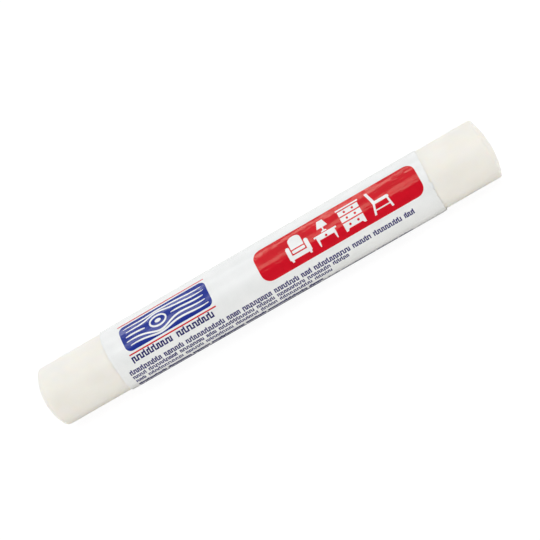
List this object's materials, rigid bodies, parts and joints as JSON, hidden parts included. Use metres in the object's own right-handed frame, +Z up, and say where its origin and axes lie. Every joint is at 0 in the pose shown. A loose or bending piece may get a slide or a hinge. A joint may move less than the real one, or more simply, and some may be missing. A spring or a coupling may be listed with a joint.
{
  "type": "furniture repair wax stick",
  "caption": "Cylindrical wax crayon with crowned ends, wrapped in a printed film label that laps at the back; rubbed into scratches in wood.",
  "frame": {"origin": "on the surface that the stick lies on, below the middle of its length", "axes": "+X along the stick towards its flatter end, +Z up; the printed face looks to -Y and up at 45 degrees"},
  "size_m": [0.089, 0.0115, 0.0115],
  "materials": {
    "wax": "soft satin wax",
    "adhesive": "clear tacky",
    "label_white": "coated gloss",
    "ink_red": "gloss",
    "ink_blue": "gloss",
    "ink_navy": "gloss"
  },
  "bodies": {
    "root": {"wax_stick": "wax", "label_adhesive": "adhesive", "label_film": "label_white", "red_panel_print": "ink_red", "blue_panel_print": "ink_blue", "red_rule_print": "ink_red", "heading_print": "ink_navy", "fine_print": "ink_navy", "directions_print": "ink_navy"}
  },
  "joints": []
}
